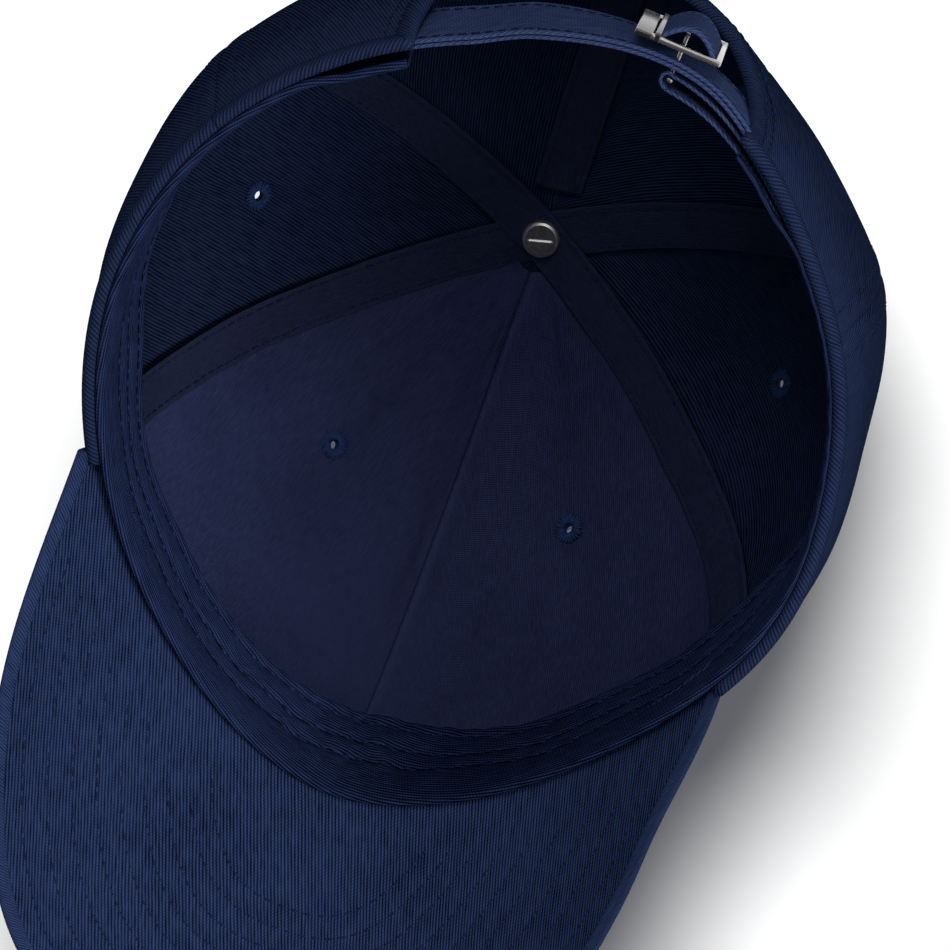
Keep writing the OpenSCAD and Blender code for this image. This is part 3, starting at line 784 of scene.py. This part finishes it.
bm = bmesh.new()
for row in [0.0030] + brim_rows:
    for face, way in ((under_face, 1), (top_face, -1)):
        path, outs = [], []
        for k in range(1601):
            q = brim_out(k / 800 - 1, row)
            bearing = math.degrees(math.atan2(q.x, -q.y))
            x, y = plan(bearing, -0.004)
            if math.hypot(q.x, q.y) < math.hypot(x, y) + 0.002:
                continue
            hit, normal = face.ray_cast(Vector((q.x, q.y, -0.12 * way)), Vector((0, 0, way)))[:2]
            if hit:
                path.append(hit)
                outs.append(normal if normal.z * way < 0 else -normal)
        if len(path) > 2:
            sew(bm, path, lambda k: outs[k], 0.0025, 0.0008, 0.00055, 0.0)
piece("brim_stitching", bm, thread, "cap", "thread")

board = bpy.data.materials.new("board")
board.use_nodes = True
shader = board.node_tree.nodes["Principled BSDF"]
shader.inputs["Base Color"].default_value = (0.6, 0.6, 0.57, 1)
shader.inputs["Roughness"].default_value = 0.6


def place(u, v):
    return brim_at(1.8 * u - 0.9, 0.14 + 0.86 * v, core_trim, -0.0005)


bm = cloth()
add_sheet(bm, 120, 50, place, lambda u, v: (u, v))
piece("brim_core", bm, board, "cap", "board", "brim_board", thick=core_t)


# Strap: two plies of twill with turned edges, sewn together along both sides. It comes out of a pocket
# behind the left back panel, passes through the buckle and tucks its tail into the right pocket, where
# the tail stays when the rest slides.
strap_r, strap_z, strap_half = 0.08784, 0.012, 48
strap_w, ply_t, ply_off = 0.020, 0.0011, 0.00058
strap_lean, strap_twist = math.radians(8.42), math.radians(13)
strap_twill = woven("strap_twill", (0.012, 0.019, 0.056), (0.082, 0.122, 0.30), 62)


def strap_line(angle, inward=0.0):
    """Middle, upward and outward direction of the strap, at an angle from the back to the right."""
    rad = math.radians(angle)
    radial = Vector((-math.sin(rad), math.cos(rad), 0))
    lean = strap_lean - strap_twist * ridge(angle - 18, 20)
    up = radial * math.sin(lean) + Vector((0, 0, math.cos(lean)))
    out = radial * math.cos(lean) - Vector((0, 0, math.sin(lean)))
    slack = 0.0068 * ridge(angle - 16, 24 if angle < 16 else 17)
    slack -= 0.0014 * ramp((-8 - angle) / 10)
    return radial * (strap_r + slack - inward) + Vector((0, 0, strap_z)), up, out


def ply(middle, half, thick):
    """Section of one ply, with its turned and stitched edges."""
    side = [(-1, 0), (-0.985, 0.6), (-0.94, 0.95), (-0.87, 0.9), (-0.8, 0.45), (-0.73, 0.85), (-0.5, 0.95),
            (0, 1)]
    side += [(-h, y) for h, y in side[-2::-1]]
    loop = side + [(h, -y) for h, y in side[-2::-1]]
    return [(h * half, middle + y * thick / 2) for h, y in loop]


def close(bm, verts):
    """Joins the seam of a closed sweep and fills its two ends."""
    bmesh.ops.remove_doubles(bm, verts=verts, dist=1e-6)
    bmesh.ops.holes_fill(bm, edges=[e for e in bm.edges if e.is_boundary], sides=0)


def worn_edge(spot):
    return 0.8 * ramp((abs(spot[0]) - 0.0085) / 0.001)


bm = cloth()
frames = [strap_line(-strap_half + strap_half * k / 60) for k in range(121)]
for middle in (-ply_off, ply_off):
    close(bm, add_sweep(bm, frames, ply(middle, strap_w / 2, ply_t), 0.0, worn_edge))
strap = piece("strap_cloth", bm, strap_twill, None, "strap_twill", "strap")
slides, tucked = tuple(strap_line(-2)[0]), tuple(strap_line(30)[0])
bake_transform(strap, "strap", "cap", start=slides, end=tucked)
line = [strap_line(-strap_half + strap_half * k / 500) for k in range(1001)]
bm = bmesh.new()
for h in (-0.008, 0.008):
    for out_side in (0.0010, -0.0010):
        sew(bm, [point + up * h + out * out_side for point, up, out in line],
            lambda k: line[k][2] * math.copysign(1, out_side), width=0.0005)
strap_stitching = piece("strap_stitching", bm, thread, None, "thread")
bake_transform(strap_stitching, "strap", "cap", start=slides, end=tucked)


# Buckle: a cast and plated slide, one piece with a bare plate at one end, a rib beside it, two side rods
# and an end bar, and a round bar across its back that hangs in the loop of webbing.
buckle_at, buckle_out, buckle_turn = 11.5, 0.003, math.radians(-8)
bar_place, bar_r, bar_long = Vector((-0.001, -0.0071, 0)), 0.001, 0.0160
nickel = bpy.data.materials.new("nickel")
nickel.use_nodes = True
tree = nickel.node_tree
shader = tree.nodes["Principled BSDF"]
place = tree.nodes.new("ShaderNodeTexCoord").outputs["Object"]
cast = node(tree, "ShaderNodeTexNoise", {"Vector": place, "Scale": 420, "Detail": 4, "Roughness": 0.6})
tree.links.new(calc(tree, "MULTIPLY_ADD", cast, 0.2, 0.08), shader.inputs["Roughness"])
pitted = node(tree, "ShaderNodeBump", {"Strength": 0.25, "Distance": 0.0001, "Height": cast})
tree.links.new(pitted, shader.inputs["Normal"])
shader.inputs["Base Color"].default_value = (0.46, 0.44, 0.42, 1)
shader.inputs["Metallic"].default_value = 1
point, up, out = strap_line(buckle_at)
at_buckle = Matrix((up.cross(out) * -1, out, up)).transposed().to_4x4()
at_buckle.translation = point + out * buckle_out
at_buckle @= Matrix.Rotation(buckle_turn, 4, "Z")


def add_block(bm, low, high, round_by):
    """A block between two corners, given in millimetres of the buckle's frame, with rounded edges."""
    low, high = Vector(low) / 1000, Vector(high) / 1000
    size = Matrix.Diagonal((*(high - low), 1))
    verts = bmesh.ops.create_cube(bm, size=1, matrix=Matrix.Translation((low + high) / 2) @ size)["verts"]
    edges = list({e for v in verts for e in v.link_edges})
    bmesh.ops.bevel(bm, geom=edges, offset=round_by / 1000, offset_type="OFFSET", segments=3, profile=0.5,
                    affect="EDGES", material=-1)


bm = bmesh.new()
add_block(bm, (6.3, 0.6, -12.2), (10.6, 2.1, 12.2), 0.45)
add_block(bm, (4.4, 0.6, -11.8), (6.0, 2.9, 11.8), 0.5)
# The plate and the rib get the second, much darker nickel: painted shade standing in for the dark reflection
# they show.
for face in bm.faces:
    face.material_index = 1
for z in (-11.0, 11.0):
    add_block(bm, (-10.2, 0.7, z - 0.75), (7.0, 2.2, z + 0.75), 0.55)
    add_block(bm, (-1.5, -7.6, z * 0.68 - 0.4), (-0.5, 1.6, z * 0.68 + 0.4), 0.3)
add_block(bm, (-10.5, 0.7, -11.7), (-8.9, 2.2, 11.7), 0.55)
bmesh.ops.create_cone(bm, cap_ends=True, segments=24, radius1=bar_r, radius2=bar_r, depth=bar_long,
                      matrix=Matrix.Translation(bar_place))
bmesh.ops.transform(bm, matrix=at_buckle, verts=bm.verts)
buckle = piece("buckle_metal", bm, nickel, "buckle", "nickel", "buckle_frame")
# A much darker copy of the nickel: painted shade for the plate and the rib.
painted_dark_nickel = nickel.copy()
painted_dark_nickel.name = "nickel_painted_dark"
painted_dark_nickel.node_tree.nodes["Principled BSDF"].inputs["Base Color"].default_value = (0.11, 0.105, 0.108, 1)
buckle.data.materials.append(painted_dark_nickel)


# Bight of the strap: where the strap goes up between the rods of the buckle and down again under its
# end bar. It stands in for that part of the strap and stays with the buckle.
def arch_frames(points):
    """Frames along a path in the buckle's frame, with the cloth's width along the buckle's bar."""
    frames = []
    for k, (x, y) in enumerate(points):
        x0, y0 = points[max(k - 1, 0)]
        x1, y1 = points[min(k + 1, len(points) - 1)]
        out = Vector((y1 - y0, x0 - x1, 0)).normalized()
        frames.append((at_buckle @ Vector((x, y, 0)), at_buckle.to_3x3().col[2], at_buckle.to_3x3() @ out))
    return frames


arch = [(0.0052 - 0.0142 * k / 40, 0.0004 + 0.0056 * math.sin(math.pi * k / 40) ** 0.75) for k in range(41)]
bm = cloth()
close(bm, add_sweep(bm, arch_frames(arch), ply(0.0, 0.0099, 0.0013), 0.0, worn_edge))
bight = piece("strap_bight_cloth", bm, strap_twill, "buckle", "strap_twill", "strap_hump")


# Loop of the buckle: a short piece of the same webbing, folded round the buckle's bar, with both ends
# sewn into the right pocket behind the back panel.
loop_end, loop_r, leg_turn = 40, 0.0019, 39.1 - buckle_at
shares = [k / 40 for k in range(41)]
leg = [strap_line(loop_end - leg_turn * s, 0.0020 + 0.0006 * ramp(s * 1.3)) for s in shares]
fold = [at_buckle @ bar_place + at_buckle.to_3x3() @ Vector((math.cos(t), math.sin(t), 0)) * loop_r
        for t in (math.radians(100 - 200 * k / 14) for k in range(15))]
back = [strap_line(buckle_at + 0.9 + leg_turn * s, 0.0062 - 0.0028 * ramp(s)) for s in shares]
points = [f[0] for f in leg] + fold + [f[0] for f in back]
frames = []
for k, point in enumerate(points):
    along = points[min(k + 1, len(points) - 1)] - points[max(k - 1, 0)]
    up = at_buckle.to_3x3().col[2]
    frames.append((point, up, along.cross(up).normalized() * -1))
bm = cloth()
close(bm, add_sweep(bm, frames, ply(0.0, 0.0092, 0.0009), 0.0, worn_edge))
loop = piece("buckle_loop_cloth", bm, strap_twill, "cap", "strap_twill", "buckle_loop")


# Button: a pressed metal shell covered with a disc of the twill, on top where the six panels meet. Its
# post goes through the cloth to a plated tack with a slot, which is riveted on inside.
cover_r, cover_z = 0.0070, 0.1243
profile = [(0.0004, -0.0006), (0.62, -0.0004), (0.9, 0.0), (0.985, 0.0008), (1.0, 0.0016), (0.975, 0.0026),
           (0.88, 0.0037), (0.72, 0.0045), (0.5, 0.0050), (0.25, 0.0052), (0.02, 0.0052)]
bm = cloth()
verts = [bm.verts.new((r * cover_r, button_back, cover_z + h)) for r, h in profile]
edges = [bm.edges.new(pair) for pair in zip(verts, verts[1:])]
bmesh.ops.spin(bm, geom=verts + edges, cent=(0, button_back, 0), axis=(0, 0, 1), angle=math.tau, steps=48,
               use_merge=True)
bmesh.ops.holes_fill(bm, edges=[e for e in bm.edges if e.is_boundary], sides=0)
bmesh.ops.recalc_face_normals(bm, faces=bm.faces)
for face in bm.faces:
    for loop in face.loops:
        loop[bm.loops.layers.uv["weave"]].uv = loop.vert.co.xy
piece("button_cloth", bm, shell_twill, "cap", "shell_twill", "button_cover")
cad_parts["button_shell"].data.materials.clear()
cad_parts["button_shell"].data.materials.append(nickel)

tack_r, tack_z, tack_t, tack_spin = 0.0047, 0.1184, 0.0016, math.radians(15.5)
tack_steel = nickel.copy()
tack_steel.name = "tack_steel"
tree = tack_steel.node_tree
shader = tree.nodes["Principled BSDF"]
highlight_share = tree.nodes.new("ShaderNodeAttribute")
highlight_share.attribute_name = "wear_and_painted_light"
place = tree.nodes.new("ShaderNodeTexCoord").outputs["Object"]
mottle = node(tree, "ShaderNodeTexNoise", {"Vector": place, "Scale": 1100, "Detail": 3, "Roughness": 0.7})
dull = blend(tree, mottle, (0.06, 0.055, 0.05, 1), (0.52, 0.50, 0.48, 1))
# Near-white metal on the rim and along the slot: painted highlights; the mottled face is darker metal.
tree.links.new(blend(tree, highlight_share.outputs["Fac"], dull, (0.95, 0.93, 0.88, 1)), shader.inputs["Base Color"])
tree.links.new(calc(tree, "MULTIPLY_ADD", highlight_share.outputs["Fac"], 0.3, 0.15), shader.inputs["Roughness"])


def tack_point(u, v):
    """Face of the tack: a disc with a rounded rim, a shallow dish and a slot."""
    x, y = 2 * u - 1, 2 * v - 1
    far = max(abs(x), abs(y))
    ray = math.hypot(x, y) or 1
    x, y = x / ray * far, y / ray * far
    rim = max(0, (far - 0.9) / 0.1)
    slot = ramp((0.66 - abs(x)) / 0.06) * ramp((y + 0.06) / 0.03) * max(0, min(1, (0.09 - y) / 0.12))
    dish = 0.0029 * max(0, min(far, 0.93) - 0.84)
    h = -dish - 0.0006 * (1 - math.sqrt(max(0, 1 - rim * rim))) - 0.00035 * slot
    sine, cosine = math.sin(tack_spin), math.cos(tack_spin)
    x, y = x * cosine - y * sine, x * sine + y * cosine
    return Vector((x * tack_r, button_back - y * tack_r, tack_z - h))


def tack_painted_highlight(u, v):
    """Painted highlights: brighter metal on the rim and along the slot."""
    x, y = 2 * u - 1, 2 * v - 1
    far = max(abs(x), abs(y))
    slot = ridge(y * far / (math.hypot(x, y) or 1) - 0.02, 0.06) * (far < 0.7)
    return max(ramp((far - 0.83) / 0.03), slot)


bm = cloth()
add_sheet(bm, 130, 130, tack_point, lambda u, v: (u, v), tack_painted_highlight)
pull(bm, [e for e in bm.edges if e.is_boundary], (0, 0, tack_t))
bmesh.ops.recalc_face_normals(bm, faces=bm.faces)
piece("tack_metal", bm, tack_steel, "cap", "nickel", "button_tack")


# Stage: the photograph looks up into the cap, so a pale table lies beyond its top and is seen from below
# only, and a pale floor lies under the brim for the views from above. Soft lamps light both sides.
def seen_share(tree, filmed=1.0):
    """One for rays that show the stage, straight or in metal, and nought for those that carry its light."""
    ray = tree.nodes.new("ShaderNodeLightPath").outputs
    mirrored = calc(tree, "MAXIMUM", ray["Is Glossy Ray"], ray["Is Transmission Ray"])
    return calc(tree, "MAXIMUM", calc(tree, "MULTIPLY", ray["Is Camera Ray"], filmed), mirrored)


def stage_plane(name, normal, far, least_facing=0.0):
    """Square sheet at a distance from the origin along its normal, seen from the side it faces, and by
    the camera only where the cosine between its ray and the normal is over least_facing."""
    mesh = bpy.data.meshes.new(name)
    bm = bmesh.new()
    turned = normal.to_track_quat("Z", "Y").to_matrix().to_4x4()
    bmesh.ops.create_grid(bm, x_segments=1, y_segments=1, size=4,
                          matrix=turned @ Matrix.Translation((0, 0, far)))
    bm.to_mesh(mesh)
    bm.free()
    plane = bpy.data.objects.new(name, mesh)
    bpy.context.scene.collection.objects.link(plane)
    material = bpy.data.materials.new(name)
    material.use_nodes = True
    tree = material.node_tree
    tree.nodes.clear()
    face = tree.nodes.new("ShaderNodeNewGeometry").outputs
    slant = tree.nodes.new("ShaderNodeVectorMath")
    slant.operation = "DOT_PRODUCT"
    tree.links.new(face["Incoming"], slant.inputs[0])
    tree.links.new(face["Normal"], slant.inputs[1])
    seen = seen_share(tree, calc(tree, "GREATER_THAN", slant.outputs["Value"], least_facing))
    front = calc(tree, "SUBTRACT", 1, face["Backfacing"])
    paper = node(tree, "ShaderNodeBsdfDiffuse", {"Color": (0.9, 0.9, 0.9, 1)})
    glow = node(tree, "ShaderNodeEmission", {"Color": (1, 1, 1, 1), "Strength": 0.035})
    shown = node(tree, "ShaderNodeAddShader", {0: paper, 1: glow})
    clear = node(tree, "ShaderNodeBsdfTransparent")
    mixed = node(tree, "ShaderNodeMixShader", {0: calc(tree, "MULTIPLY", seen, front), 1: clear, 2: shown})
    tree.links.new(mixed, tree.nodes.new("ShaderNodeOutputMaterial").inputs["Surface"])
    mesh.materials.append(material)
    return plane


rest_on = Vector((0.2, 0.5, -0.84)).normalized()
crown_reach = max(-rest_on.dot(crown(a, p)) for a in range(0, 360, 6) for p in range(40, 90, 3))
button_reach = -rest_on.dot(Vector((0, button_back, 0.1297)))
table = stage_plane("table", rest_on, -max(crown_reach, button_reach) - 0.001, least_facing=0.6)
floor = stage_plane("floor", Vector((0, 0, 1)), -0.0445)
on_ground, off_ground = bpy.data.collections.new("on_ground"), bpy.data.collections.new("off_ground")
for ground in (table, floor):
    on_ground.objects.link(ground)
    off_ground.objects.link(ground)
for member in off_ground.collection_objects:
    member.light_linking.link_state = "EXCLUDE"


lamp_far, world_level = 1.6, 0.2


def lamp(name, way, size, watts, falls_on):
    """Round soft lamp that shines on the cap from a direction, for the objects of one collection."""
    data = bpy.data.lights.new(name, "AREA")
    data.shape, data.size, data.energy = "DISK", size, watts
    made = bpy.data.objects.new(name, data)
    made.location = way.normalized() * lamp_far + Vector((0, 0, 0.03))
    made.rotation_mode = "QUATERNION"
    made.rotation_quaternion = way.to_track_quat("Z", "Y")
    made.light_linking.receiver_collection = falls_on
    bpy.context.scene.collection.objects.link(made)


right = Vector((-0.9400, 0.3088, 0.1449))
down = Vector((-0.3395, -0.8878, -0.3108))
look = Vector((0.0327, -0.3413, 0.9394))
lamp("key", right * 0.66 + down * 0.38 - look * 0.64, 0.8, 12, off_ground)
lamp("fill", -down * 0.42 - look * 0.91, 0.8, 7, off_ground)
lamp("above", look, 0.8, 16, off_ground)
lamp("ground", -right * 0.05 - down * 0.39 - look * 0.92, 0.8, 33, on_ground)
lamp("ground_above", Vector((0.4, -0.3, 1.4)), 0.9, 24, on_ground)
world = bpy.data.worlds.new("world")
bpy.context.scene.world = world
world.use_nodes = True
tree = world.node_tree
sky = tree.nodes["Background"]
sky.inputs["Color"].default_value = (1, 1, 1, 1)
tree.links.new(calc(tree, "MAXIMUM", seen_share(tree), world_level), sky.inputs["Strength"])

camera_data = bpy.data.cameras.new("camera")
camera_data.lens, camera_data.sensor_width = 220.2, 36
camera = bpy.data.objects.new("camera", camera_data)
camera_turn = Matrix((right, -down, -look)).transposed().to_4x4()
camera.matrix_world = Matrix.Translation((-0.0524, 0.4476, -1.2757)) @ camera_turn
bpy.context.scene.collection.objects.link(camera)
bpy.context.scene.camera = camera
bpy.context.scene.view_settings.view_transform = "Standard"
